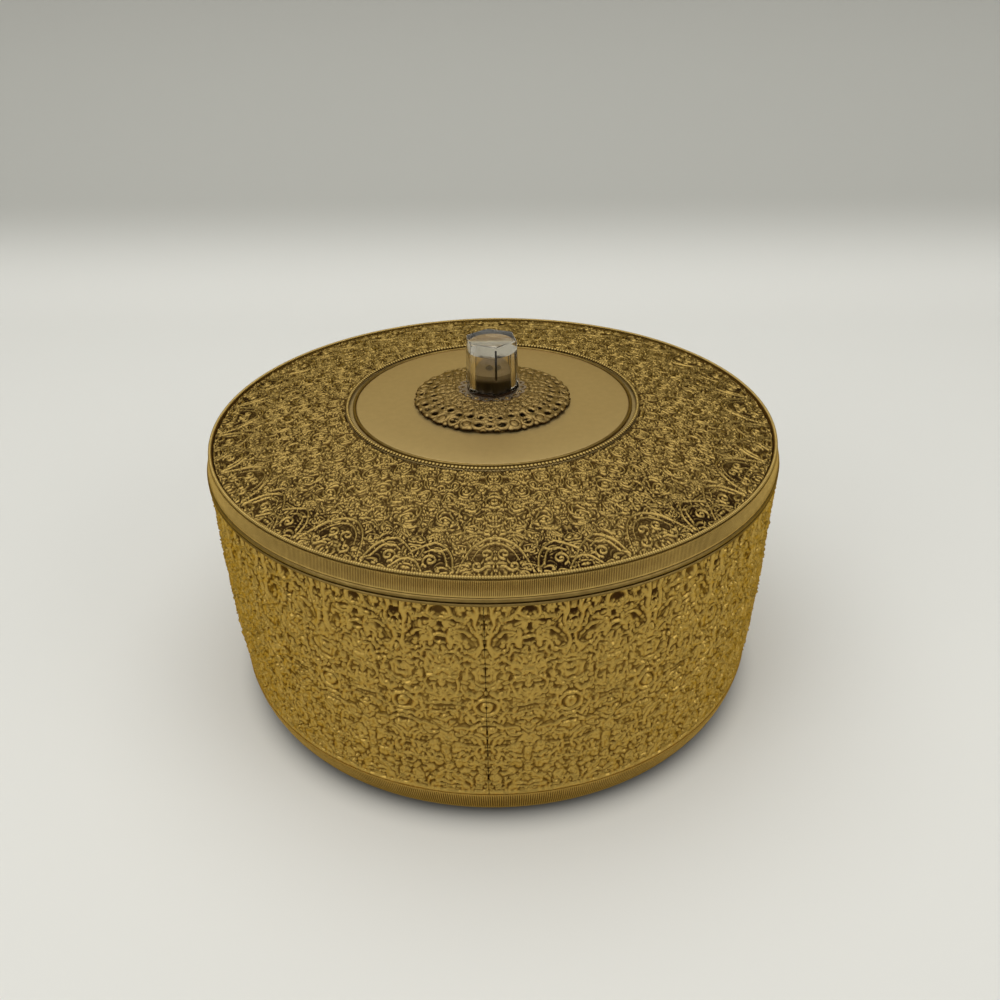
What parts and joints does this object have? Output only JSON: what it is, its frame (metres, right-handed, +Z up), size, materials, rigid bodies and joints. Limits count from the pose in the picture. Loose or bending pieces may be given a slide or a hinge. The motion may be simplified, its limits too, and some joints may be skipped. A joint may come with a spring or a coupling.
{
  "type": "round lidded vanity box",
  "caption": "Round gilt metal vanity box with embossed scroll filigree sides, a shallow cone lid that lifts off, and a clear hexagonal knob.",
  "frame": {"origin": "centre of the foot's underside, on the surface that the box stands on", "axes": "+Z up along the lid's lift; -Y towards the body's seam, the front"},
  "size_m": [0.2064, 0.2064, 0.1307],
  "materials": {
    "plain_gilt_inside": "plain rolled gilt sheet, satin",
    "gilt_filigree_body": "embossed gilt scrollwork, worn bright on top and brown in the recesses",
    "gilt_filigree_lid": "embossed gilt scrollwork, worn bright on top and near black in the recesses by the edge",
    "gilt_openwork": "pierced gilt scrollwork with dark gaps",
    "satin_gilt_disc": "satin gilt with fine speckle and a few dents",
    "reeded_gilt": "fine upright reeds, gilt, dull in the grooves",
    "bright_gilt": "worn bright gilt wire and rolls",
    "dark_gilt_foot": "dull brown gilt underside",
    "dull_brass": "tarnished brown brass",
    "plated_steel": "plated steel screw and washer",
    "clear_acrylic": "clear hard plastic with rounded edges and small scratches"
  },
  "bodies": {
    "box": {"inner_bowl": "plain_gilt_inside", "body_filigree_wrap": "gilt_filigree_body", "seam_strip": "dull_brass", "body_top_bead": "bright_gilt", "body_rim_ring": "plain_gilt_inside", "lid_guide_collar": "plain_gilt_inside", "base_reeded_band": "reeded_gilt", "base_pan": "dark_gilt_foot"},
    "lid": {"lid_shell": "plain_gilt_inside", "lid_filigree_ring": "gilt_filigree_lid", "lid_edge_beading": "bright_gilt", "lid_reeded_band": "reeded_gilt", "lid_rolled_lip": "bright_gilt", "plain_disc": "satin_gilt_disc", "disc_step_ring": "bright_gilt", "disc_bead_ring": "bright_gilt", "rosette": "gilt_openwork", "rosette_collar": "gilt_openwork", "knob_seat": "dull_brass", "knob": "clear_acrylic", "knob_insert": "dull_brass", "knob_screw": "plated_steel", "screw_washer": "plated_steel"}
  },
  "joints": [
    {"name": "lid_lift", "type": "slide", "parent": "box", "child": "lid", "axis": [0, 0, 1], "range_m": [0, 0.06]}
  ]
}
